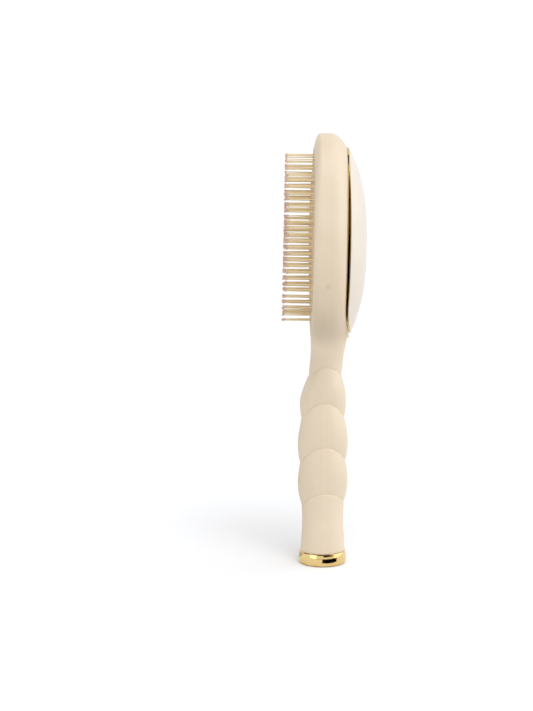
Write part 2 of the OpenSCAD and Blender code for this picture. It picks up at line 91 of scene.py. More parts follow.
def degrees(name, value, about):
    return FloatProperty(
        name=name, description=about, default=math.radians(value), subtype="ANGLE", unit="ROTATION",
    )


def brightness(name, value, about):
    return FloatProperty(name=name, description=about, default=value, min=0.0)


def colour(name, rgb, about):
    """A colour given as 0 to 255 display values."""
    linear = [((c / 255 + 0.055) / 1.055) ** 2.4 if c > 10 else c / 255 / 12.92 for c in rgb]
    return FloatVectorProperty(
        name=name, description=about, default=linear, size=3, min=0.0, max=1.0, subtype="COLOR",
    )


class BrushHandleSizes(bpy.types.PropertyGroup):
    cap_h: length("Cap height", 7.1, "Height of the metal end cap")
    cap_bottom_r: length("Cap radius", 13.0, "Radius of the end cap where it is widest")
    cap_top_r: length("Cap radius at the handle", 12.15, "Radius of the end cap where it meets the handle")
    cap_edge_r: length("Widest height", 2.8, "Height at which the end cap is widest")
    cap_foot_r: length("Cap foot", 1.3, "Rounding of the lower edge of the end cap")
    cap_side_r: length("Cap barrel", 14.0, "Radius of the barrel shape of the side of the end cap")
    cap_lip_r: length("Cap lip", 0.9, "Rounding of the upper edge of the end cap")
    waist_dip: length("Waist", 0.6, "Depth by which the foot of the handle narrows")
    waist_h: length("Foot height", 25.4, "Height of the plain foot of the handle, seen from the front")
    bead_h: lengths("Bead heights", (23.55, 24.6, 22.6), "Heights of the beads, from the lowest up")
    bead_bulge: lengths("Bead bulges", (1.75, 1.7, 2.1), "Fullness of the beads, from the lowest up")
    seam_r: lengths("Seam radii", (11.3, 12.2, 11.5), "Radii of the handle at its three lower seams")
    neck_r: length("Neck radius", 9.05, "Radius of the neck above the top bead")
    neck_h: length("Neck height", 16.85, "Height of the neck from the highest seam to the head")
    seam_step: length("Seam step", 0.35, "Step by which each lower bead stands proud of the one above")
    seam_round: length("Seam rounding", 0.3, "Rounding of the proud edge at each seam")
    side_rise: lengths("Seam rises", (8.25, 11.25, 11.35, 8.4), "Rise of each seam from front to side")
    groove: length("Parting groove", 0.05, "Size of the bevel on each shell along the parting line")


class BrushHeadSizes(bpy.types.PropertyGroup):
    head_w: length("Head width", 68.0, "Width of the head")
    head_h: length("Head height", 111.5, "Height of the head")
    face_out: length("Face distance", 7.05, "Distance of the front face from the handle axis")
    face_lean: degrees("Face lean", 1.1, "Angle by which the front face leans back")
    rear_out: length("Rear distance", 11.8, "Distance of the rear edge of the body from the handle axis")
    front_edge_w: length("Front rounding", 3.0, "Rounding of the front edge of the head, seen from the front")
    front_edge_t: length("Front rounding, depth", 4.0, "Depth of the rounding of the front edge")
    front_top_h: length("Top fall", 8.0, "Height over which the head rounds off at its top")
    parting_out: length("Parting line", 1.8, "Distance of the parting line behind the handle axis")
    cover_side_w: length("Cover inset, side", 5.0, "Distance of the back cover inside the side of the head")
    cover_top_w: length("Cover inset, top", 7.7, "Distance of the back cover below the top of the head")
    cover_low_w: length("Cover inset, low", 1.1, "Distance of the back cover above the foot of the head")
    cover_rise: length("Cover rise", 9.5, "Rise of the domed back cover above its edge")
    cover_wall: length("Cover wall", 2.0, "Wall of the back cover")
    cover_edge_r: length("Cover rounding", 0.45, "Rounding of the edge of the back cover")
    slit_w: length("Slit width", 2.2, "Width of the slit that shows the trim band")
    slit_end_w: length("Slit width, ends", 0.95, "Width of the slit at its upper and lower end")
    slit_depth: length("Slit depth", 0.6, "Depth of the trim band inside the slit")
    band_round: length("Band rounding", 0.3, "Depth by which the edges of the trim band fall back")
    rim_side: length("Rim, side", 6.3, "Width of the rim of the head beside the cushion")
    rim_top: length("Rim, top", 8.45, "Width of the rim of the head above the cushion")
    rim_low: length("Rim, low", 5.35, "Width of the rim of the head below the cushion")
    lip_r: length("Opening rounding", 0.9, "Rounding of the edge of the opening for the cushion")
    plug_r: length("Plug radius", 1.1, "Radius of the small plug on the side of the head")


class BrushCushionSizes(bpy.types.PropertyGroup):
    rise: length("Rise", 1.5, "Rise of the cushion above the front face")
    rubber_t: length("Rubber", 1.2, "Thickness of the rubber")
    pin_reach: length("Pin reach", 15.9, "Distance of the pin tips from the front face")
    pin_root_r: length("Pin root", 0.38, "Radius of a pin at its root")
    pin_neck_r: length("Pin neck", 0.28, "Radius of a pin below its ball")
    pin_ball_r: length("Pin ball", 0.56, "Radius of the ball at the tip of a pin")
    pin_gap: length("Pin spacing", 3.6, "Spacing of the pins along a ring of pins")
    row_gap: length("Row spacing", 3.39, "Spacing of the rows that the pins are drawn towards")
    row_pull: share("Row pull", 0.34, "Share of the way by which each pin is drawn towards its row")
    row_stray: length("Row stray", 0.8, "Most that a row of pins lies off its even place")
    pin_lean: degrees("Pin lean", 0.9, "Largest lean of a single pin out of line")
    collar_r: length("Collar radius", 0.8, "Radius of the moulded collar round each pin")
    collar_h: length("Collar height", 0.28, "Height of the collar round each pin")
    rings: IntProperty(name="Rings", description="Number of rings of pins", default=7, min=2, max=9)
    seed: IntProperty(name="Seed", description="Start of the random draws for the pins", default=11, min=0)


class BrushColours(bpy.types.PropertyGroup):
    shell: colour("Body", (229, 212, 187), "Soft-touch lacquer of the body")
    shell_shade: colour("Body, deep", (224, 205, 178), "Slightly deeper patches of the body's lacquer")
    cover: colour("Cover", (230, 221, 207), "Lacquer of the back cover")
    cover_shade: colour("Cover, deep", (226, 215, 200), "Slightly deeper patches of the cover's lacquer")
    gold: colour("Gold", (234, 206, 146), "Polished metal of the cap and the trim band")
    gold_shade: colour("Gold, deep", (222, 189, 124), "Deeper patches of the polished metal")
    cushion: colour("Cushion", (228, 209, 173), "Rubber of the cushion")
    cushion_shade: colour("Cushion, deep", (219, 199, 161), "Deeper patches of the rubber")
    pin: colour("Pins", (233, 214, 176), "Nylon of the pins")
    pin_shade: colour("Pins, deep", (224, 204, 162), "Nylon of the pins, near their roots")
    tip: colour("Ball tips", (224, 196, 178), "Nylon of the ball tips")
    tip_shade: colour("Ball tips, deep", (208, 172, 152), "Deeper parts of the ball tips")
    inner: colour("Inner plastic", (66, 63, 60), "Plain plastic inside the head and the handle")
    steel: colour("Steel", (200, 200, 204), "Zinc plated screws and slug")


class BrushStudio(bpy.types.PropertyGroup):
    distance: length("Camera distance", 3000.0, "Distance of the camera from the brush")
    elevation: degrees("Camera elevation", 13.0, "Angle of the camera above the horizon")
    turn: degrees("Camera turn", 1.5, "Angle of the camera from the side of the brush towards its front")
    frame_h: length("Frame height", 388.9, "Height of the picture at the brush")
    aim_y: FloatProperty(
        name="Aim, across", description="Place of the middle of the picture along Y",
        default=-0.0309, subtype="DISTANCE", unit="LENGTH",
    )
    aim_z: length("Aim, up", 116.85, "Height of the middle of the picture")
    world: brightness("Fill", 0.695, "Strength of the even light from all round")
    key: brightness("Key lamp", 0.335, "Brightness that the large lamp gives a white face turned to it")
    key_spread: degrees("Key lamp, spread", 26.0, "Angle over which the light of the large lamp comes in")
    side: brightness("Side lamp", 0.26, "Brightness that the lamp behind gives a white face turned to it")
    side_spread: degrees("Side lamp, spread", 100.0, "Angle over which the light of the side lamp comes in")


GROUPS = {
    "brush_handle": BrushHandleSizes,
    "brush_head": BrushHeadSizes,
    "brush_cushion": BrushCushionSizes,
    "brush_colours": BrushColours,
    "brush_studio": BrushStudio,
}


# Form of the brush, in millimetres

OVAL_N = 2.1
OVAL_STEPS = 720
MOUTH_STEPS = 144
BEAD_STEPS = 26
NECK_STEPS = 14
HEAD_STEPS = 44
NECK_LEAN = 0.09
LEAN_FROM = 11.25
PARTING_FROM = 4.95
PARTING_H = 50.0
FLARE_FROM = 2.35
FLARE_H = 32.0
SHARE_FROM = 1.0
SHARE_H = 18.0
REAR_SLOPE = 0.017
REAR_CURL = 3.0
REAR_CURL_H = 20.0
REAR_FALL = 1.2
REAR_FALL_H = 1.2
END_DEPTH = 0.15
BEAD_SKEW = (1.4, 0.95, 0.92, 1.0)
FIELD_IN = 1.6
DOME_POWER = 3.35
DOME_SWING = 0.35
DOME_LEAN = 0.05
TOP_POWER = 0.37
SEAM_POWER = (1.0, 0.95, 1.3, 1.25, 1.15)
SEAM_TILT = (0.0, 0.1, 0.07, 0.05, 0.08)
SEAM_SOFT = 0.15
CUSHION_EDGE = 0.5
CUSHION_POWER = 0.75
FIT_GAP = 0.1
SOFT_GAP = 0.3
EDGE_FLAT = 0.02
TOP_FLAT = 0.065
ROW_LEAN = 0.231
ROW_FAN = 0.00033
ROW_FAN_Z = 117.0
ROW_PHASE = 0.383


def lerp(a, b, t):
    return a + (b - a) * t


def clamp(v, low, high):
    return min(max(v, low), high)


def smooth(t):
    t = clamp(t, 0.0, 1.0)
    return t * t * (3 - 2 * t)


def steps(a, b, n):
    """n + 1 values from a to b, both ends included."""
    return [lerp(a, b, k / n) for k in range(n + 1)]


def oval(u, a, b):
    """Half width of the oval of half axes a and b at distance u from its middle."""
    return 0.0 if abs(u) >= b else a * (1 - (abs(u) / b) ** OVAL_N) ** (1 / OVAL_N)


def oval_points(a, b, n):
    """n points round the oval, anticlockwise."""
    def bent(v, half):
        return half * math.copysign(abs(v) ** (2 / OVAL_N), v)

    turns = [math.tau * k / n for k in range(n)]
    return [(bent(math.cos(t), a), bent(math.sin(t), b)) for t in turns]


def even_oval(a, b, n=0, gap=0.0, shift=0.0):
    """Points evenly spaced along the oval, anticlockwise: n of them, or as many as the gap asks for."""
    path = oval_points(a, b, OVAL_STEPS)
    run = [0.0]
    for p, q in zip(path, path[1:] + path[:1]):
        run.append(run[-1] + math.dist(p, q))
    n = n or round(run[-1] / gap)
    ring, i = [], 0
    for k in range(n):
        d = run[-1] * (k + shift) / n
        while run[i + 1] < d:
            i += 1
        t = (d - run[i]) / (run[i + 1] - run[i])
        p, q = path[i], path[(i + 1) % OVAL_STEPS]
        ring.append((lerp(p[0], q[0], t), lerp(p[1], q[1], t)))
    return ring


def in_mm(settings):
    """The sizes of a group of settings, with lengths in millimetres."""
    sizes = {}
    for key in type(settings).__annotations__:
        value = getattr(settings, key)
        setting = settings.bl_rna.properties[key]
        if getattr(setting, "unit", "NONE") == "LENGTH":
            value = [v / MM for v in value] if setting.is_array else value / MM
        sizes[key] = value
    return sizes


class BrushForm:
    """The curves of the brush, worked out from the sizes in the panel."""

    def __init__(self, scene):
        for group in ("brush_handle", "brush_head", "brush_cushion"):
            self.__dict__.update(in_mm(getattr(scene, group)))
        self.seam_base = [self.cap_h]
        for h in (self.waist_h, *self.bead_h):
            self.seam_base.append(self.seam_base[-1] + h)
        self.seam_rise = [0.0, *self.side_rise]
        self.lift = self.seam_step / 2
        self.seg_low_r = [self.cap_top_r, *self.seam_r]
        self.seg_high_r = [r + self.seam_step for r in (*self.seam_r, self.neck_r)]
        self.seg_bulge = [-self.waist_dip, *self.bead_bulge]
        side_top = self.seam_base[4] + self.seam_rise[4]
        self.lean_z = self.seam_base[4] - LEAN_FROM
        self.parting_z = self.seam_base[4] + PARTING_FROM
        self.neck_top_z = side_top + FLARE_FROM
        self.flare_top_z = self.neck_top_z + FLARE_H
        self.head_z = side_top + self.neck_h
        self.brush_h = self.head_z + self.head_h
        self.head_a, self.head_b = self.head_w / 2, self.head_h / 2
        self.head_c = self.head_z + self.head_b
        self.cover_a = self.head_a - self.cover_side_w
        self.cover_b = self.head_b - (self.cover_top_w + self.cover_low_w) / 2
        self.cover_c = self.head_c - (self.cover_top_w - self.cover_low_w) / 2
        self.open_a = self.head_a - self.rim_side
        self.open_b = self.head_b - (self.rim_top + self.rim_low) / 2
        self.face_c = self.head_c - (self.rim_top - self.rim_low) / 2
        self.field_a, self.field_b = self.open_a - FIELD_IN, self.open_b - FIELD_IN
        self.flare_end = oval(self.flare_top_z - self.head_c, self.head_a, self.head_b)
        u = (self.head_c - self.flare_top_z) / self.head_b
        self.flare_slope = (
            self.head_a / self.head_b * (1 - u**OVAL_N) ** (1 / OVAL_N - 1) * u ** (OVAL_N - 1)
        )
        self.face_matrix = Matrix.Translation((0, self.face_y(self.face_c), self.face_c)) @ Matrix.Rotation(
            -self.face_lean, 4, "X"
        )

    # planes of the head
    def parting_y(self, z):
        return self.parting_out * smooth((z - self.parting_z) / PARTING_H)

    def face_y(self, z):
        return -self.face_out + (z - self.head_z) * math.tan(self.face_lean)

    def rim_y(self, z):
        below = self.head_z + self.cover_low_w - z
        curl = clamp(1 + below / REAR_CURL_H, 0.0, 1.0)
        fall = clamp(below / REAR_FALL_H, 0.0, 1.0)
        return self.rear_out + (z - self.cover_c) * REAR_SLOPE + REAR_CURL * curl * curl - REAR_FALL * fall

    def neck_c(self, z):
        return max(0.0, z - self.lean_z) * NECK_LEAN

    def head_share(self, z):
        return smooth((z - self.neck_top_z - SHARE_FROM) / SHARE_H)

    def top_round(self, z, r):
        return clamp((self.brush_h - z) / r, 0.0, 1.0) ** TOP_POWER

    def front_y(self, z):
        front = self.face_y(z) + self.front_edge_t * (1 - self.top_round(z, self.front_top_h))
        return lerp(self.neck_c(z) - self.neck_r, front, self.head_share(z))

    def back_y(self, z):
        p = self.parting_y(z)
        back = p + (self.rim_y(z) - p) * self.top_round(z, self.cover_top_w)
        return lerp(self.neck_c(z) + self.neck_r, back, self.head_share(z))

    # outline of the body
    def flare_w(self, z):
        t = clamp((z - self.neck_top_z) / FLARE_H, 0.0, 1.0)
        return (
            self.neck_r * (1 + 2 * t) * (1 - t) ** 2
            + self.flare_end * t * t * (3 - 2 * t)
            + FLARE_H * self.flare_slope * t * t * (t - 1)
        )

    def head_half(self, z, y):
        p = self.parting_y(z)
        f = clamp((y - p) / (self.rim_y(z) - p), 0.0, 1.0) ** (1 / TOP_POWER)
        e = clamp((self.face_y(z) + self.front_edge_t - y) / self.front_edge_t, 0.0, 1.0)
        side_in = self.front_edge_w * (1 - math.sqrt(1 - e * e))
        top_in = self.front_top_h * e ** (1 / TOP_POWER)
        middle = lerp(self.head_c, self.cover_c, f) - (top_in - side_in) / 2
        b = lerp(self.head_b, self.cover_b, f) - (top_in + side_in) / 2
        return oval(z - middle, lerp(self.head_a, self.cover_a, f) - side_in, b)

    def body_half(self, z, y, a):
        if z >= self.flare_top_z:
            return self.head_half(z, y)
        head = self.head_half(self.flare_top_z, y) / self.flare_end
        return self.flare_w(z) * lerp(math.sin(a), head, self.head_share(z))

    # points of the skin: a is the angle from the middle of the front or the back to the side
    def bead_r(self, i, t):
        bulge = self.seg_bulge[i] * math.sin(math.pi * clamp(t, 0.0, 1.0) ** BEAD_SKEW[i])
        return lerp(self.seg_low_r[i], self.seg_high_r[i], t) + bulge

    def seam_z(self, k, a, back):
        """Height of seam k: it rises from the middle to the side, and its back is higher than its front."""
        power = SEAM_POWER[k]
        least, most = SEAM_SOFT**power, (1 + SEAM_SOFT**2) ** (power / 2)
        arc = ((math.sin(a) ** 2 + SEAM_SOFT**2) ** (power / 2) - least) / (most - least)
        return self.seam_base[k] + self.seam_rise[k] * (arc + back * SEAM_TILT[k] * math.cos(a))

    def bead_point(self, i, t, a, back, sink=0.0):
        s, c = math.sin(a), math.cos(a)
        low = self.seam_z(i, a, back) + (self.lift if i else 0.0)
        z = lerp(low, self.seam_z(i + 1, a, back), t)
        r = self.bead_r(i, t) - sink
        return r * s, back * r * c + self.neck_c(z) * c, z

    def neck_point(self, t, a, back):
        s, c = math.sin(a), math.cos(a)
        z = lerp(self.seam_z(4, a, back) + self.lift, self.neck_top_z, t)
        return self.neck_r * s, self.parting_y(z) * (1 - c) + (self.neck_c(z) + back * self.neck_r) * c, z

    def head_point(self, z, a, back):
        y = lerp(self.parting_y(z), self.back_y(z) if back > 0 else self.front_y(z), math.cos(a))
        return max(self.body_half(z, y, a), EDGE_FLAT), y, z

    # slit, cover and cushion
    def slit_at(self, z):
        return lerp(self.slit_w, self.slit_end_w, ((z - self.cover_c) / self.cover_b) ** 2)

    def dome(self, s, q, h):
        """Height of the dome at share s of its outline; q runs from -1 at its foot to 1 at its top."""
        return h * (1 - s ** (DOME_POWER - DOME_SWING * q)) * (1 - DOME_LEAN * q * s)

    def row_shift(self, x, z):
        """Shift that draws a pin at (x, z) on the face towards its row; the rows run a little aslant."""
        w = z - x * (ROW_LEAN - (self.face_c + z - ROW_FAN_Z) * ROW_FAN)
        k = round(w / self.row_gap - ROW_PHASE)
        stray = random.Random(self.seed + k).uniform(-self.row_stray, self.row_stray)
        return ((k + ROW_PHASE) * self.row_gap + stray - w) * self.row_pull

    def cushion_y(self, x, z):
        q = (abs(x) / self.open_a) ** 2 + (abs(z) / self.open_b) ** 2
        return CUSHION_EDGE - (self.rise + CUSHION_EDGE) * max(0.0, 1 - q) ** CUSHION_POWER


# Mesh tools


def new_piece(name, verts, faces, matrix=None):
    """A mesh object from points in millimetres."""
    mesh = bpy.data.meshes.new(name)
    mesh.from_pydata([Vector(v) * MM for v in verts], [], faces)
    if matrix is not None:
        move = matrix.copy()
        move.translation = matrix.translation * MM
        mesh.transform(move)
    tidy = bmesh.new()
    tidy.from_mesh(mesh)
    bmesh.ops.recalc_face_normals(tidy, faces=tidy.faces)
    tidy.to_mesh(mesh)
    tidy.free()
    obj = bpy.data.objects.new(name, mesh)
    bpy.context.scene.collection.objects.link(obj)
    return obj


def loft(rings, caps=True):
    """Points and faces of the skin through rings that all have the same number of points."""
    n, m = len(rings[0]), len(rings)
    verts = [p for ring in rings for p in ring]
    faces = []
    for i in range(m - 1):
        for j in range(n):
            k = (j + 1) % n
            faces.append((i * n + j, i * n + k, (i + 1) * n + k, (i + 1) * n + j))
    if caps:
        faces.append(tuple(reversed(range(n))))
        faces.append(tuple((m - 1) * n + j for j in range(n)))
    return verts, faces


def band(rings):
    """Points and faces of a closed band through rings, with the last ring joined to the first."""
    verts, faces = loft(rings, caps=False)
    n, m = len(rings[0]), len(rings)
    for j in range(n):
        k = (j + 1) % n
        faces.append(((m - 1) * n + j, (m - 1) * n + k, k, j))
    return verts, faces


def pointed(rings, low, high):
    """Points and faces of the skin through rings, closed towards a point below and a point above."""
    verts, faces = loft(rings, caps=False)
    n, last = len(rings[0]), len(verts) - len(rings[0])
    verts += [low, high]
    for k in range(n):
        faces.append((len(verts) - 2, (k + 1) % n, k))
        faces.append((len(verts) - 1, last + k, last + (k + 1) % n))
    return verts, faces


def circle(r, n):
    """n points on a circle, anticlockwise."""
    return [(r * math.cos(math.tau * k / n), r * math.sin(math.tau * k / n)) for k in range(n)]


def turned(profile, n):
    """Points and faces of a solid turned round the Z axis; the profile starts and ends on the axis."""
    rings = [[(x, y, z) for x, y in circle(r, n)] for r, z in profile[1:-1]]
    return pointed(rings, (0, 0, profile[0][1]), (0, 0, profile[-1][1]))


def add_part(store, part, sides):
    """Adds points and faces to a store of points and faces."""
    verts, faces = store
    faces += [tuple(i + len(verts) for i in f) for f in sides]
    verts += part


def slab(a, b, y0, y1):
    """An oval slab between two depths."""
    return loft([[(x, y, z) for x, z in even_oval(a, b, 96)] for y in (y0, y1)])


def rods(places, r, y0, y1, n=24):
    """Round rods along Y at the given (x, y, z) places."""
    store = [], []
    for x, y, z in places:
        add_part(store, *loft([[(x + u, y + h, z + v) for u, v in circle(r, n)] for h in (y0, y1)]))
    return store


def combine(obj, tools, operation="DIFFERENCE"):
    """Cuts the tools out of obj, or joins them to it, and removes them."""
    for tool in tools:
        step = obj.modifiers.new(tool.name, "BOOLEAN")
        step.object, step.operation, step.solver = tool, operation, "MANIFOLD"
    bpy.context.view_layer.update()
    graph = bpy.context.evaluated_depsgraph_get()
    mesh = bpy.data.meshes.new_from_object(obj.evaluated_get(graph), depsgraph=graph)
    if not mesh.polygons:
        raise RuntimeError(f"{obj.name} came out empty")
    obj.modifiers.clear()
    old, obj.data = obj.data, mesh
    mesh.name = obj.name
    bpy.data.meshes.remove(old)
    for tool in tools:
        bpy.data.meshes.remove(tool.data)


def shade(obj, degrees_sharp=32):
    """Smooth shading, apart from edges sharper than the angle."""
    obj.data.shade_smooth()
    obj.data.set_sharp_from_angle(angle=math.radians(degrees_sharp))
    return obj


def place(obj, body, slot_name, material, *nodes):
    """Gives a piece its finish and its body, and hides the CAD nodes that it stands for."""
    obj.data.materials.clear()
    obj.data.materials.append(material)
    if body:
        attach(obj, body)
    if nodes:
        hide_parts(*nodes)


# Finishes


def feed(tree, socket, value):
    """Links a source to a socket, or gives the socket a plain value."""
    if isinstance(value, bpy.types.NodeSocket):
        tree.links.new(value, socket)
    else:
        socket.default_value = value


def add_node(tree, kind, inputs=(), **settings):
    """A new node; inputs holds a source or a plain value for each named or numbered input."""
    node = tree.nodes.new(kind)
    for key, value in settings.items():
        setattr(node, key, value)
    for key, value in dict(inputs).items():
        feed(tree, node.inputs[key], value)
    return node


def emptied(owner):
    """The node tree of a material or the world, without its nodes."""
    owner.use_nodes = True
    owner.node_tree.nodes.clear()
    return owner.node_tree


class NodeBoard:
    """Short calls to lay out the nodes of one material."""

    def __init__(self, name):
        self.material = bpy.data.materials.new(name)
        self.tree = emptied(self.material)
        self.shader = self.add("ShaderNodeBsdfPrincipled")
        self.add("ShaderNodeOutputMaterial", {"Surface": self.shader.outputs["BSDF"]})
        self.place = self.add("ShaderNodeTexCoord").outputs["Object"]

    def add(self, kind, inputs=(), **settings):
        return add_node(self.tree, kind, inputs, **settings)

    def stretched(self, scale):
        return self.add("ShaderNodeMapping", {"Vector": self.place, "Scale": scale}).outputs["Vector"]

    def noise(self, scale, detail=4.0, along=None):
        inputs = {"Scale": scale, "Detail": detail, "Roughness": 0.55, "Vector": along or self.place}
        return self.add("ShaderNodeTexNoise", inputs).outputs["Fac"]

    def spread(self, source, low, high, start=0.3, stop=0.7):
        """Maps the middle of a noise to a range of values."""
        inputs = {"Value": source, "From Min": start, "From Max": stop, "To Min": low, "To Max": high}
        return self.add("ShaderNodeMapRange", inputs).outputs["Result"]

    def mix(self, factor, *pair):
        """Mixes two colours; each is a socket or a colour."""
        first, second = (c if isinstance(c, bpy.types.NodeSocket) else (*c, 1.0) for c in pair)
        return self.add("ShaderNodeMix", {0: factor, 6: first, 7: second}, data_type="RGBA").outputs[2]

    def clouded(self, light, deep, scale, detail=4.0):
        """A colour that drifts between two others in soft clouds."""
        return self.mix(self.spread(self.noise(scale, detail), 0.0, 1.0), deep, light)

    def relief(self, layers):
        """Bump from pairs of height source and depth in metres, the coarsest first."""
        inputs = {"Strength": 1.0}
        for source, depth in layers:
            inputs.update({"Height": source, "Distance": depth})
            inputs["Normal"] = self.add("ShaderNodeBump", inputs).outputs["Normal"]
        return inputs["Normal"]

    def coated(self, base, rough, *layers, **fixed):
        """Feeds colour, roughness and relief to the shader, sets its fixed values and gives the material."""
        fixed |= {"Base Color": base, "Roughness": rough, "Normal": self.relief(layers)}
        for key, value in fixed.items():
            feed(self.tree, self.shader.inputs[key.replace("_", " ")], value)
        return self.material


def lacquer(name, light, deep, worn=True):
    """Soft-touch lacquer: powdery sheen, faint clouding, fine grain, and a painted highlight that makes
    marked edges paler.
    """
    board = NodeBoard(name)
    speck = board.spread(board.noise(2600.0, 2.0), 0.0, 0.22, 0.55, 0.8)
    base = board.mix(speck, board.clouded(light, deep, 28.0, 3.0), [c * 0.94 for c in deep])
    # Painted highlight: where the mesh marks an edge, the colour turns paler, in patches.
    if worn:
        edge = board.add("ShaderNodeAttribute", attribute_name="rubbed").outputs["Fac"]
        patches = board.spread(board.noise(420.0), 0.35, 0.75)
        patchy = board.add("ShaderNodeMath", {0: edge, 1: patches}, operation="MULTIPLY")
        base = board.mix(patchy.outputs[0], base, [min(1.0, c * 1.06) for c in light])
    return board.coated(
        base, board.spread(board.noise(60.0, 5.0), 0.44, 0.54),
        (board.noise(900.0, 3.0), 0.000012), (board.noise(5200.0, 2.0), 0.000006),
        Sheen_Weight=0.12, Sheen_Roughness=0.45, IOR=1.46,
    )


def polished_metal(name, light, deep):
    """Polished plated metal with faint round-and-round polishing marks."""
    board = NodeBoard(name)
    marks = board.noise(900.0, 3.0, along=board.stretched((0.12, 0.12, 5.0)))
    return board.coated(
        board.clouded(light, deep, 70.0, 3.0), board.spread(marks, 0.06, 0.13),
        (board.noise(120.0, 2.0), 0.000012), (marks, 0.0000012), Metallic=1.0,
    )


def rubber(name, light, deep):
    """Matte rubber with faint clouding and a fine moulded grain."""
    board = NodeBoard(name)
    return board.coated(
        board.clouded(light, deep, 90.0), board.spread(board.noise(400.0), 0.58, 0.7),
        (board.noise(1400.0, 3.0), 0.00003), Sheen_Weight=0.1, IOR=1.5,
    )


def nylon(name, light, deep, rough, glow):
    """Slightly translucent moulded nylon."""
    board = NodeBoard(name)
    return board.coated(
        board.clouded(light, deep, 160.0), board.spread(board.noise(700.0), rough, rough + 0.12),
        (board.noise(2400.0, 2.0), 0.00001),
        IOR=1.53, Subsurface_Weight=glow, Subsurface_Scale=0.001, Subsurface_Radius=(1.0, 0.7, 0.4),
    )


def inner_plastic(name, shade_of):
    """Plain dark plastic with a sparked mould texture."""
    board = NodeBoard(name)
    base = board.clouded(shade_of, [c * 0.8 for c in shade_of], 150.0)
    return board.coated(
        base, board.spread(board.noise(1800.0), 0.5, 0.65),
        (board.noise(2200.0, 3.0), 0.00002), IOR=1.5,
    )


def zinc(name, shade_of):
    """Bright zinc plate with fine turning marks."""
    board = NodeBoard(name)
    marks = board.noise(1500.0, 2.0, along=board.stretched((0.3, 6.0, 0.3)))
    base = board.clouded(shade_of, [c * 0.82 for c in shade_of], 300.0)
    return board.coated(base, board.spread(marks, 0.22, 0.38), (marks, 0.000004), Metallic=1.0)


def finish(name):
    """The named finish, made from the panel's colours when it is first asked for."""
    if name in bpy.data.materials:
        return bpy.data.materials[name]
    tint = bpy.context.scene.brush_colours
    makers = {
        "shell_lacquer": (lacquer, tint.shell, tint.shell_shade),
        "cover_lacquer": (lacquer, tint.cover, tint.cover_shade),
        "polished_gold": (polished_metal, tint.gold, tint.gold_shade),
        "cushion_rubber": (rubber, tint.cushion, tint.cushion_shade),
        "pin_nylon": (nylon, tint.pin, tint.pin_shade, 0.32, 0.25),
        "tip_nylon": (nylon, tint.tip, tint.tip_shade, 0.28, 0.2),
        "plug_plastic": (lacquer, tint.shell, tint.shell_shade, False),
        "inner_plastic": (inner_plastic, tint.inner),
        "zinc_plate": (zinc, tint.steel),
    }
    maker, *colours = makers[name]
    return maker(name, *colours)


# Shells

RIM_T = 2.4
RING_Y = 4.4
PLATE_BACK = 8.2
SCREW_HEAD_H = 0.9
LIP_IN = 1.8
POCKET_IN = 3.9
POCKET_END_IN = 4.0
REAR_ROOM_IN = (2.9, 1.1)
FLOOR_IN = 2.6
BORE_TOP_IN = 6.0
RIB = 2
DOWEL_IN = 0.6
DOWEL_R = 0.9
DOWEL_HALF = 2.5
NECK_DOWEL_X = 5.0
RING_SCREW_OUT = 2.6
RING_SCREW_R = 0.7
SHELL_SCREW_R = 1.3
SHELL_SCREW_SHARE = (0.5, 0.54)
POST_R = 1.8
POST_SHARE = (0.62, 0.31)
PLUG_DOWN = 22.4
PLUG_T = 2.3
HALF_ANGLES = [math.radians(a) for a in [1.5] + [3.75 * k for k in range(1, 24)] + [88.6, 89.4, 90.0]]
TOP_H = 14.0


def half_ring(form, point):
    """Ring of one half of the body: out to one side, across the middle and out to the other."""
    side = [point(a) for a in HALF_ANGLES]
    x, y, z = side[-1]
    side[-1] = (x - form.groove, y, z)
    x, y, z = side[0]
    middle = [(lerp(-x, x, k / 4), y, z) for k in (1, 2, 3)]
    return [(-x, y, z) for x, y, z in reversed(side)] + middle + side


def bead_rings(form, i, back):
    """Rings of one bead, each with how much painted highlight it gets: a rounded proud edge on top, then a
    sharp valley.
    """
    lip = form.seam_round / (form.seam_base[i + 1] - form.seam_base[i])
    made = []

    def ring(t, sink, wear):
        made.append((half_ring(form, lambda a: form.bead_point(i, t, a, back, sink)), wear))

    if i == 0:
        for turn in (0.0, 30.0, 60.0):
            b = math.radians(turn)
            ring(lip * (1 - math.cos(b)), form.seam_round * (1 - math.sin(b)), 0.4)
    for t in steps(lip if i == 0 else 0.0, 1 - lip, BEAD_STEPS):
        ring(t, 0.0, 0.0)
    for turn, wear in ((22.5, 0.7), (45.0, 1.0), (67.5, 0.8), (90.0, 0.3)):
        b = math.radians(turn)
        ring(1 - lip * (1 - math.sin(b)), form.seam_round * (1 - math.cos(b)), wear)
    ring(1 + lip * 0.1, form.seam_step + 0.05, 0.0)
    return made


def shell_skin(form, back):
    """Points, faces and painted edge highlight of one half of the body, from the foot to the top of the head.
    """
    made = []
    for i in range(4):
        made += bead_rings(form, i, back)
    for t in steps(0.0, 1.0, NECK_STEPS):
        made.append((half_ring(form, lambda a: form.neck_point(t, a, back)), 0.0))
    zs = steps(form.neck_top_z, form.flare_top_z, HEAD_STEPS)[1:]
    zs += steps(form.flare_top_z, form.brush_h - TOP_H, HEAD_STEPS)[1:]
    rounding = [1 - math.sin(math.pi / 2 * k / HEAD_STEPS) for k in range(1, HEAD_STEPS + 1)]
    zs += [form.brush_h - TOP_FLAT - (TOP_H - TOP_FLAT) * share for share in rounding]
    for z in zs:
        made.append((half_ring(form, lambda a: form.head_point(z, a, back)), 0.0))
    rings = [ring for ring, wear in made]
    verts, faces = loft(rings)
    n = len(rings[0])
    # Painted highlight along the parting line, on the two outermost points at each side.
    along = [0.8 if k in (0, 1, n - 2, n - 1) else 0.0 for k in range(n)]
    wear = [max(wear, along[k]) for ring, wear in made for k in range(n)]
    return verts, faces, wear


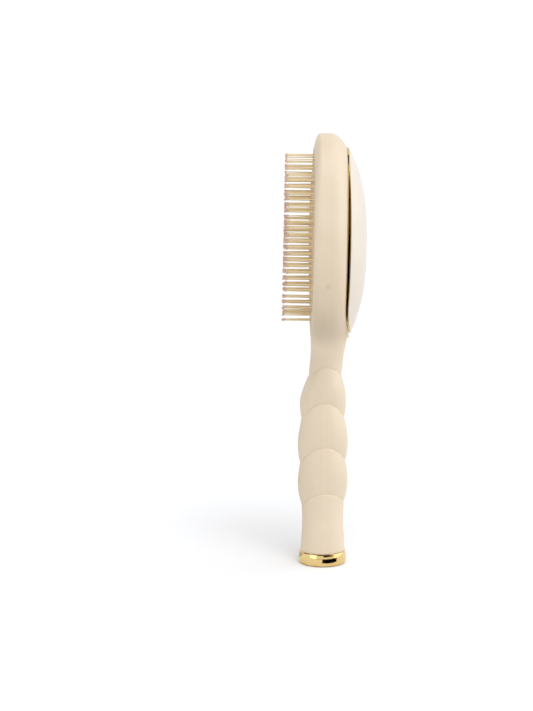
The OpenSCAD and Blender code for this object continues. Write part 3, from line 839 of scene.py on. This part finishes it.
def bore_profile(form):
    """Outline of the room inside the handle, with the stop and the ribs that hold the balance weight."""
    low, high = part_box("balance_weight")
    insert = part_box("cap_insert")[1]
    bore_r, weight_r = insert.x / MM + FIT_GAP, high.x / MM
    stop, z0, z1 = insert.z / MM + SOFT_GAP, low.z / MM, high.z / MM
    top = form.seam_base[4] - BORE_TOP_IN
    inner_r, foot = bore_r - RIB, form.cap_h - 1
    profile = [(0, foot), (bore_r, foot), (bore_r, stop), (inner_r, stop), (inner_r, z0), (bore_r, z0)]
    for z in (lerp(z0, z1, 0.25), lerp(z0, z1, 0.75)):
        profile += [(bore_r, z), (weight_r + FIT_GAP, z), (weight_r + FIT_GAP, z + RIB), (bore_r, z + RIB)]
    return profile + [(bore_r, top - RIB), (inner_r, top), (0, top)]


def dowel_places(form):
    sides = [form.seam_base[k] + form.seam_rise[k] for k in (1, 2, 3)]
    x = form.seam_r[0] - DOWEL_IN
    places = [(s * x, 0.0, (sides[k] + sides[k + 1]) / 2) for s in (-1, 1) for k in (0, 1)]
    return places + [(s * NECK_DOWEL_X, form.parting_y(form.neck_top_z), form.neck_top_z) for s in (-1, 1)]


def four_places(a, b, middle, shares):
    """Places to the left and right of the middle of an oval, below and above it."""
    return [(x * a * shares[0], 0.0, middle + z * b * shares[1]) for x in (-1, 1) for z in (-1, 1)]


def shell_screw_places(form):
    return four_places(form.open_a, form.open_b, form.face_c, SHELL_SCREW_SHARE)


def cover_post_places(form):
    return four_places(form.cover_a, form.cover_b, form.cover_c, POST_SHARE)


def plug_place(form):
    z = form.head_c - PLUG_DOWN
    return form.head_half(z, form.parting_out), form.parting_y(z), z


def opening_tool(form):
    """What is cut out for the cushion: its mouth is rounded, and it widens behind the front wall."""
    r = form.lip_r
    mouth = [(-1.5, r)] + [(r * (1 - math.cos(q)), r * (1 - math.sin(q))) for q in steps(0.0, math.pi / 2, 9)]
    rings = [
        [(x, y, z) for x, z in even_oval(form.open_a + out, form.open_b + out, MOUTH_STEPS)]
        for y, out in mouth + [(RIM_T + 1, 0.0)]
    ]
    return loft(rings)


def shell_tools(form, back):
    """Solids that make the rooms and holes of one shell."""
    face = form.face_matrix
    plate_end = PLATE_BACK + SCREW_HEAD_H + FIT_GAP
    plate_room = slab(form.open_a + POCKET_IN, form.open_b + POCKET_END_IN, RING_Y, plate_end)
    tools = [
        new_piece("bore", *turned(bore_profile(form), 64)),
        new_piece("plate_room", *plate_room, face),
        new_piece("dowel_holes", *rods(dowel_places(form), DOWEL_R, -DOWEL_HALF, DOWEL_HALF)),
    ]
    x, y, z = plug_place(form)
    turn = Matrix.Translation((x, y, z)) @ Matrix.Rotation(math.pi / 2, 4, "Y")
    r = form.plug_r + 0.05
    tools.append(new_piece("plug_hole", *turned([(0, -PLUG_T), (r, -PLUG_T), (r, 2), (0, 2)], 48), turn))
    if back < 0:
        ring = oval_points(form.open_a + RING_SCREW_OUT, form.open_b + RING_SCREW_OUT, 10)
        screws = rods([(x, 0.0, z) for x, z in ring], RING_SCREW_R, RING_Y - 1.3, RING_Y + 1)
        tools += [
            new_piece("opening", *opening_tool(form), face),
            new_piece("lip_room", *slab(form.open_a + LIP_IN, form.open_b + LIP_IN, RIM_T, RING_Y + 1), face),
            new_piece("screw_holes", *screws, face),
        ]
    else:
        side_in, end_in = REAR_ROOM_IN
        floor_y, out = form.rear_out - FLOOR_IN, form.rear_out + 2
        centre = Matrix.Translation((0, 0, form.face_c))
        tools += [
            new_piece("rear_room", *slab(form.open_a + side_in, form.open_b + end_in, -1, floor_y), centre),
            new_piece("screw_holes", *rods(shell_screw_places(form), SHELL_SCREW_R, floor_y - 1, out)),
            new_piece("post_holes", *rods(cover_post_places(form), POST_R + FIT_GAP, floor_y - 1, out)),
        ]
    return tools


class BRUSH_OT_shells(bpy.types.Operator):
    """Builds the two shells of the body, with their rounded seams and the fine groove where they meet"""

    bl_idname = "brush.shells"
    bl_label = "Body Shells"

    def execute(self, context):
        form = BrushForm(context.scene)
        for name, node, back in (("shell_front", "front_shell", -1), ("shell_rear", "rear_shell", 1)):
            verts, faces, wear = shell_skin(form, back)
            shell = new_piece(name, verts, faces)
            # Painted highlight: this point attribute makes the proud seam edges and the parting line paler.
            rubbed = shell.data.attributes.new("rubbed", "FLOAT", "POINT")
            rubbed.data.foreach_set("value", wear)
            combine(shell, shell_tools(form, back))
            place(shade(shell), BODY, "soft_shell", finish("shell_lacquer"), node)
        return {"FINISHED"}


class BRUSH_OT_side_plug(bpy.types.Operator):
    """Builds the small plug that sits flush in the side of the head, on the parting line"""

    bl_idname = "brush.side_plug"
    bl_label = "Side Plug"

    def execute(self, context):
        form = BrushForm(context.scene)
        x, y, z = plug_place(form)
        # share of the radius, and depth below the skin
        shape = (
            (1.0, 2.25), (1.0, 0.3), (0.96, 0.1), (0.9, 0.03), (0.8, 0.0), (0.6, 0.0),
            (0.4, 0.0), (0.09, 0.02), (0.07, 0.3), (0.07, 1.2),
        )
        rings = []
        for out, sink in shape:
            ring = circle(form.plug_r * out, 48)
            skin = [x if sink >= 2 else form.head_half(z + v, y + u) for u, v in ring]
            rings.append([(out_x - sink, y + u, z + v) for out_x, (u, v) in zip(skin, ring)])
        plug = new_piece("side_plug", *loft(rings))
        place(shade(plug), BODY, "vent", finish("plug_plastic"), "vent_bush")
        return {"FINISHED"}


# Cover, trim and cap


def cover_ring(form, inset, s=1.0, h=0.0, lift=0.0):
    """Ring on the back of the head, at share s of the cover's outline, on a dome of height h."""
    ring = []
    for x, v in oval_points(form.cover_a - inset, form.cover_b - inset, 160):
        z = form.cover_c + v * s
        dome = form.dome(s, v / (form.cover_b - inset), h)
        ring.append((x * s, form.rim_y(z) + form.slit_at(z) + dome + lift, z))
    return ring


def cover_rings(form):
    inner_in = form.cover_wall + form.slit_depth
    inner_rise = form.cover_rise - form.cover_wall
    rings = [cover_ring(form, inner_in, s, inner_rise) for s in (0.04, 0.2, 0.4, 0.6, 0.75, 0.87, 0.95, 1)]
    r = form.cover_edge_r
    s_join = 1 - r / form.cover_a
    h_join = form.dome(s_join, 0.0, form.cover_rise)
    for t in steps(0.0, 1.0, 7):
        inset = lerp(lerp(r, 0.0, t), lerp(0.0, r, t), t)
        rings.append(cover_ring(form, inset, lift=h_join * t * t))
    for k in range(1, 33):
        s = s_join * math.cos(math.pi / 2 * k / 33.3)
        rings.append(cover_ring(form, 0.0, s, form.cover_rise))
    return rings


class BRUSH_OT_cover(bpy.types.Operator):
    """Builds the domed lid on the back of the head, with its posts"""

    bl_idname = "brush.cover"
    bl_label = "Back Cover"

    def execute(self, context):
        form = BrushForm(context.scene)
        cover = new_piece("cover", *loft(cover_rings(form)))
        reach = form.rear_out + form.slit_w + form.cover_rise / 2
        posts = rods(cover_post_places(form), POST_R, form.rear_out - FLOOR_IN, reach, 32)
        combine(cover, [new_piece("posts", *posts)], "UNION")
        place(shade(cover), BODY, "cover", finish("cover_lacquer"), "back_cover")
        return {"FINISHED"}


class BRUSH_OT_trim(bpy.types.Operator):
    """Builds the gold band at the bottom of the slit, with a gently rounded face"""

    bl_idname = "brush.trim"
    bl_label = "Trim Band"

    def execute(self, context):
        form = BrushForm(context.scene)
        back_in = form.slit_depth + 1.4
        outline = [(form.slit_depth + form.band_round * (2 * t - 1) ** 2, t) for t in steps(0.0, 1.0, 10)]
        rings = []
        for inset, t in outline + [(back_in, 1.0), (back_in, 0.0)]:
            ring = []
            for x, v in oval_points(form.cover_a - inset, form.cover_b - inset * END_DEPTH, 200):
                z = form.cover_c + v
                ring.append((x, form.rim_y(z) + lerp(FIT_GAP, form.slit_at(z) - FIT_GAP, t), z))
            rings.append(ring)
        trim = new_piece("trim_band", *band(rings))
        place(shade(trim), BODY, "gold", finish("polished_gold"), "trim_ring")
        return {"FINISHED"}


class BRUSH_OT_cap(bpy.types.Operator):
    """Builds the polished cap that the brush stands on"""

    bl_idname = "brush.cap"
    bl_label = "End Cap"

    def execute(self, context):
        form = BrushForm(context.scene)
        bore_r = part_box("cap_insert")[1].x / MM
        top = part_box("end_cap")[1].z / MM
        stud_r, stud_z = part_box("cap_stud")[1].x / MM + FIT_GAP / 2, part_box("cap_stud")[0].z / MM
        foot, lip = form.cap_foot_r, form.cap_lip_r
        side_r, shoulder = form.cap_side_r, form.cap_h - lip

        def side(z):
            return form.cap_bottom_r - side_r + math.sqrt(side_r**2 - (z - form.cap_edge_r) ** 2)

        def rounded(r, z, start, stop, n):
            return [(side(z) - r + r * math.cos(q), z + r * math.sin(q)) for q in steps(start, stop, n)]

        profile = [(0, 0), *rounded(foot, foot, -math.pi / 2, 0.0, 10)]
        profile += [(side(z), z) for z in steps(foot, shoulder, 12)[1:-1]]
        profile += rounded(lip, shoulder, 0.2, math.pi / 2, 8)
        profile += [(bore_r, form.cap_h), (bore_r, top), (stud_r, top), (stud_r, stud_z), (0, stud_z)]
        cap = new_piece("foot_cap", *turned(profile, 160))
        place(shade(cap), BODY, "gold", finish("polished_gold"), "end_cap")
        return {"FINISHED"}


# Cushion and pins

RINGS_IN = 1.5
LAST_RING_A = 2.1
LAST_RING_IN = 26.4
CROWN_IN = 0.4
LIP_FRONT = 0.5
LIP_BACK = 1.7
ROOT_DEPTH = 0.5
TIP_FALL = 1.5
TIP_STRAY = 0.5


def ring_axes(form, i):
    """Half axes of ring of pins i, counted from the outside."""
    t = i / (form.rings - 1)
    a, b = form.field_a, form.field_b
    return lerp(a - RINGS_IN, LAST_RING_A, t), lerp(b - RINGS_IN, b - LAST_RING_IN, t)


def pin_places(form, i):
    """Roots of one ring of pins, as (x, z) on the face; each second ring is shifted by half a space."""
    places = even_oval(*ring_axes(form, i), gap=form.pin_gap, shift=(i % 2) / 2)
    return [(x, z + form.row_shift(x, z)) for x, z in places]


def cushion_rings(form):
    """Rings of the rubber pad: under the crown, out along the lip, up the opening and over the crown."""
    t = form.rubber_t
    side, end = form.open_a, form.open_b
    room_a, room_b = side - SOFT_GAP, end - SOFT_GAP

    def crown(s, a, b, drop):
        return [(x, form.cushion_y(x, z) + drop, z) for x, z in even_oval(a * s, b * s, MOUTH_STEPS)]

    def flat(a, b, y):
        return [(x, y, z) for x, z in even_oval(a, b, MOUTH_STEPS)]

    under = (0.03, 0.2, 0.4, 0.6, 0.8, 0.92, 1)
    rings = [crown(s, side - t - CROWN_IN, end - t - CROWN_IN, t) for s in under]
    rings += [flat(side - t, end - t, RIM_T + y) for y in (LIP_FRONT, LIP_BACK)]
    rings += [flat(side + LIP_IN - SOFT_GAP, end + LIP_IN - SOFT_GAP, RIM_T + y) for y in (LIP_BACK, FIT_GAP)]
    rings += [flat(room_a, room_b, y) for y in (RIM_T + FIT_GAP, 1.6, 1.0)]
    rings.append(flat(room_a - 0.03, room_b - 0.03, form.cushion_y(room_a, 0) + 0.25))
    rings += [crown(math.cos(math.pi / 2 * k / 36.5), room_a, room_b, 0.0) for k in range(2, 37)]
    return rings


def collars(form, places):
    """Low moulded collars on the crown, one round each pin."""
    store = [], []
    r, h = form.collar_r, form.collar_h
    shape = ((r, 0.4), (r, -0.05), (r * 0.88, -0.6 * h), (r * 0.7, -h))
    for x, z in places:
        y = form.cushion_y(x, z)
        rings = [[(x + u, y + drop, z + v) for u, v in circle(out, 12)] for out, drop in shape]
        add_part(store, *loft(rings))
    return store


class BRUSH_OT_cushion(bpy.types.Operator):
    """Builds the rubber cushion as one continuous skin with a low collar round each pin"""

    bl_idname = "brush.cushion"
    bl_label = "Cushion"

    def execute(self, context):
        form = BrushForm(context.scene)
        pad = new_piece("cushion_pad", *loft(cushion_rings(form)), form.face_matrix)
        places = [p for i in range(form.rings) for p in pin_places(form, i)]
        combine(pad, [new_piece("collars", *collars(form, places), form.face_matrix)], "UNION")
        place(shade(pad, 50), None, "cushion", finish("cushion_rubber"), "cushion")
        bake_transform(pad)
        return {"FINISHED"}


class BRUSH_OT_pins(bpy.types.Operator):
    """Builds the ball-tipped pins ring by ring; each leans a little its own way"""

    bl_idname = "brush.pins"
    bl_label = "Pins"

    def execute(self, context):
        form = BrushForm(context.scene)
        draw = random.Random(form.seed)
        for i in range(form.rings):
            strands, tips = ([], []), ([], [])
            for x, z in pin_places(form, i):
                root = Vector((x, form.cushion_y(x, z) + ROOT_DEPTH, z))
                tip = Vector((x, -form.pin_reach + TIP_FALL * (x / form.open_a) ** 2, z))
                sway = (tip - root).length * math.tan(form.pin_lean)
                stray = [draw.uniform(*ends) for ends in ((-sway, sway), (0.0, TIP_STRAY), (-sway, sway))]
                tip += Vector(stray)
                add_part(strands, *strand(form, root, tip))
                add_part(tips, *ball(form, root, tip))
            ring = new_piece(f"pins_{i + 1}", *strands, form.face_matrix)
            place(shade(ring, 60), FIELD, "pins", finish("pin_nylon"), f"pin_ring_{i + 1}")
            balls = new_piece(f"tips_{i + 1}", *tips, form.face_matrix)
            place(shade(balls, 60), FIELD, "pins", finish("tip_nylon"))
        return {"FINISHED"}


def upright_ring(p, r, n):
    """Ring of n points round a point, square to the Y axis."""
    return [(p.x + u, p.y, p.z + v) for u, v in circle(r, n)]


def strand(form, root, tip):
    """Points and faces of the tapering round strand of one pin."""
    root_r, neck_r = form.pin_root_r, form.pin_neck_r
    taper = ((0.0, root_r), (0.12, root_r * 0.94), (0.55, neck_r * 1.08), (0.955, neck_r))
    return loft([upright_ring(root.lerp(tip, t), r, 8) for t, r in taper])


def ball(form, root, tip):
    """Points and faces of the ball tip of one pin, drawn out a little towards its strand."""
    r = form.pin_ball_r
    back = (root - tip).normalized()
    rings = []
    for k in range(1, 8):
        q = math.pi * k / 8
        along = 1 - math.cos(q)
        stretch = 1.0 if along < 1 else 1 + 0.35 * (along - 1) ** 2
        rings.append(upright_ring(tip + back * (r * along * stretch), r * math.sin(q), 10))
    return pointed(rings, tuple(tip), tuple(tip + back * (r * 2.3)))


class BRUSH_OT_inner_parts(bpy.types.Operator):
    """Gives the pieces inside the head and the handle their finishes"""

    bl_idname = "brush.inner_parts"
    bl_label = "Inner Parts"

    def execute(self, context):
        finishes = {
            "cap_insert": "inner_plastic",
            "retaining_ring": "inner_plastic",
            "backing_plate": "inner_plastic",
            "cap_stud": "zinc_plate",
            "balance_weight": "zinc_plate",
            "locating_pins": "zinc_plate",
            "plate_screws": "zinc_plate",
            "shell_screws": "zinc_plate",
        }
        for node, name in finishes.items():
            for material_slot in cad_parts[node].material_slots:
                material_slot.material = finish(name)
        return {"FINISHED"}


# Studio

WHITE = (1.0, 1.0, 1.0, 1.0)
FLOOR_HALF = 6000
FLOOR_TONE = 0.91
LAMP_TINT = (0.98, 1.0, 1.05)
KEY_SIDE = (1.0, 0.3, 2.2)
SIDE_SIDE = (0.2, 1.0, 0.7)
SENSOR_H = 24.0

# Cards that stand upright: name, tone, distance, bearings and heights
STANDING_CARDS = (
    ("dark_card", 0.0, 1.0, (3, 52), (0.13, 5.0)),
    ("near_card", 0.0, 0.3, (-30, 3), (0.14, 5.0)),
    ("side_card", 1.7, 1.1, (56, 118), (0.0, 2.2)),
    ("bright_card", 2.0, 1.25, (-66, -32), (0.0, 1.4)),
    ("left_card", 0.0, 1.0, (-125, -95), (0.27, 5.0)),
)
# Black cards that hang level: name, height, ends along X and along Y, and whether the card shades the body
LEVEL_CARDS = (
    ("low_card", 0.06, (0.061, 0.2), (-0.03, 0.15), False),
    ("neck_flag", 0.121, (0.022, 0.041), (-0.013, 0.008), True),
    ("neck_card", 0.12, (0.02, 0.1), (-0.09, 0.015), False),
    ("top_card", 2.0, (-0.8, 0.4), (-0.8, 0.8), False),
)
# Cards that lie on the floor: name, tone, height in millimetres, and corners as distance and bearing
FLOOR_CARDS = (
    ("dark_floor_card", 0.0, 0.3, ((0.02, -4), (4, -2), (4, 72), (0.022, 50))),
    ("dark_far_card", 0.0, 0.4, ((0.25, -70), (4, -70), (4, 0), (0.25, 0))),
    ("brown_floor_card", 0.55, 0.5, ((0.02, -170), (1, -170), (1, -112), (0.02, -112))),
)


def add_floor():
    """The pale floor, which keeps the shadow of the brush."""
    corners = [(x, y, -0.05) for x, y in corner_pairs((-FLOOR_HALF, FLOOR_HALF), (-FLOOR_HALF, FLOOR_HALF))]
    floor = new_piece("floor", corners, [(0, 1, 2, 3)])
    material = bpy.data.materials.new("pale_floor")
    tree = emptied(material)
    matte = add_node(tree, "ShaderNodeBsdfDiffuse", {"Color": (FLOOR_TONE, FLOOR_TONE, FLOOR_TONE, 1.0)})
    add_node(tree, "ShaderNodeOutputMaterial", {"Surface": matte.outputs[0]})
    floor.data.materials.append(material)


def set_world(strength):
    """An even fill light, which camera, glossy and transmission rays see as plain white."""
    world = bpy.context.scene.world or bpy.data.worlds.new("studio")
    bpy.context.scene.world = world
    tree = emptied(world)
    path = add_node(tree, "ShaderNodeLightPath").outputs
    seen = path["Is Camera Ray"]
    for ray in ("Is Glossy Ray", "Is Transmission Ray"):
        seen = add_node(tree, "ShaderNodeMath", {0: seen, 1: path[ray]}, operation="MAXIMUM").outputs[0]
    lights = [
        add_node(tree, "ShaderNodeBackground", {"Color": WHITE, "Strength": level}).outputs[0]
        for level in (strength, 1.0)
    ]
    both = add_node(tree, "ShaderNodeMixShader", {0: seen, 1: lights[0], 2: lights[1]})
    add_node(tree, "ShaderNodeOutputWorld", {"Surface": both.outputs[0]})


def lamp(name, level, spread, towards):
    """A large far lamp: white faces turned to it get the given brightness from it."""
    light = bpy.data.lights.new(name, "SUN")
    light.energy = level * math.pi
    light.angle = spread
    light.color = LAMP_TINT
    obj = bpy.data.objects.new(name, light)
    obj.rotation_euler = Vector(towards).to_track_quat("Z", "Y").to_euler()
    bpy.context.scene.collection.objects.link(obj)
    return obj


def card(name, tone, corners, shades=False):
    """A flat card of the given brightness, in metres, that only glossy surfaces see, unless it shades."""
    piece = new_piece(name, [[c / MM for c in corner] for corner in corners], [(0, 1, 2, 3)])
    material = bpy.data.materials.new(name)
    tree = emptied(material)
    glow = add_node(tree, "ShaderNodeEmission", {"Strength": tone})
    add_node(tree, "ShaderNodeOutputMaterial", {"Surface": glow.outputs[0]})
    piece.data.materials.append(material)
    piece.visible_camera = piece.visible_shadow = piece.visible_transmission = False
    piece.visible_diffuse = shades


def corner_pairs(xs, ys):
    """The four corners of a rectangle, in turn."""
    return [(xs[0], ys[0]), (xs[1], ys[0]), (xs[1], ys[1]), (xs[0], ys[1])]


def polar(distance, bearing, height):
    """A point at a bearing in degrees, counted from +X towards +Y, seen from the foot of the brush."""
    turn = math.radians(bearing)
    return distance * math.cos(turn), distance * math.sin(turn), height


def add_cards(strips=8):
    """The cards that metal and lacquer mirror; the upright ones are bent round the brush in strips."""
    for name, tone, distance, bearings, heights in STANDING_CARDS:
        for k in range(strips):
            turns = [lerp(*bearings, (k + j) / strips) for j in (0, 1)]
            corners = [polar(distance, turn, height) for turn, height in corner_pairs(turns, heights)]
            card(f"{name}_{k + 1}", tone, corners)
    for name, height, xs, ys, shades in LEVEL_CARDS:
        card(name, 0.0, [(x, y, height) for x, y in corner_pairs(xs, ys)], shades)
    for name, tone, lift, corners in FLOOR_CARDS:
        card(name, tone, [polar(distance, bearing, lift * MM) for distance, bearing in corners])


class BRUSH_OT_studio(bpy.types.Operator):
    """Sets up the pale floor, the soft lamps and the camera"""

    bl_idname = "brush.studio"
    bl_label = "Studio"

    def execute(self, context):
        studio = context.scene.brush_studio
        add_floor()
        set_world(studio.world)
        lamp("key_lamp", studio.key, studio.key_spread, KEY_SIDE)
        lamp("side_lamp", studio.side, studio.side_spread, SIDE_SIDE).visible_glossy = False
        add_cards()
        camera = bpy.data.objects.new("camera", bpy.data.cameras.new("camera"))
        context.scene.collection.objects.link(camera)
        context.scene.camera = camera
        aim = Vector((0.0, studio.aim_y, studio.aim_z))
        up, out = math.sin(studio.elevation), math.cos(studio.elevation)
        side = Vector((out * math.cos(studio.turn), -out * math.sin(studio.turn), up))
        camera.location = aim + side * studio.distance
        camera.rotation_euler = (aim - camera.location).to_track_quat("-Z", "Y").to_euler()
        camera.data.sensor_fit = "VERTICAL"
        camera.data.sensor_height = SENSOR_H
        camera.data.lens = SENSOR_H * studio.distance / studio.frame_h
        camera.data.clip_end = 60.0
        context.scene.view_settings.view_transform = "Standard"
        return {"FINISHED"}


# Panel


PIECES = (
    BRUSH_OT_shells,
    BRUSH_OT_side_plug,
    BRUSH_OT_cover,
    BRUSH_OT_trim,
    BRUSH_OT_cap,
    BRUSH_OT_cushion,
    BRUSH_OT_pins,
    BRUSH_OT_inner_parts,
    BRUSH_OT_studio,
)


class BRUSH_PT_panel(bpy.types.Panel):
    """Sizes, colours and pieces of the brush"""

    bl_idname = "BRUSH_PT_panel"
    bl_label = "Detangling Brush"
    bl_space_type = "VIEW_3D"
    bl_region_type = "UI"
    bl_category = "Brush"

    def draw(self, context):
        for group in GROUPS:
            box = self.layout.box()
            box.label(text=group.replace("_", " ").title())
            settings = getattr(context.scene, group)
            for key in type(settings).__annotations__:
                box.prop(settings, key)
        for piece in PIECES:
            self.layout.operator(piece.bl_idname)


def register():
    for group in GROUPS.values():
        bpy.utils.register_class(group)
    for name, group in GROUPS.items():
        setattr(bpy.types.Scene, name, PointerProperty(type=group))
    for piece in PIECES:
        bpy.utils.register_class(piece)
    bpy.utils.register_class(BRUSH_PT_panel)


def unregister():
    bpy.utils.unregister_class(BRUSH_PT_panel)
    for piece in reversed(PIECES):
        bpy.utils.unregister_class(piece)
    for name in GROUPS:
        delattr(bpy.types.Scene, name)
    for group in reversed(list(GROUPS.values())):
        bpy.utils.unregister_class(group)


def main():
    register()
    bpy.ops.brush.shells()
    bpy.ops.brush.side_plug()
    bpy.ops.brush.cover()
    bpy.ops.brush.trim()
    bpy.ops.brush.cap()
    bpy.ops.brush.cushion()
    bpy.ops.brush.pins()
    bpy.ops.brush.inner_parts()
    bpy.ops.brush.studio()


if __name__ == "__main__":
    main()
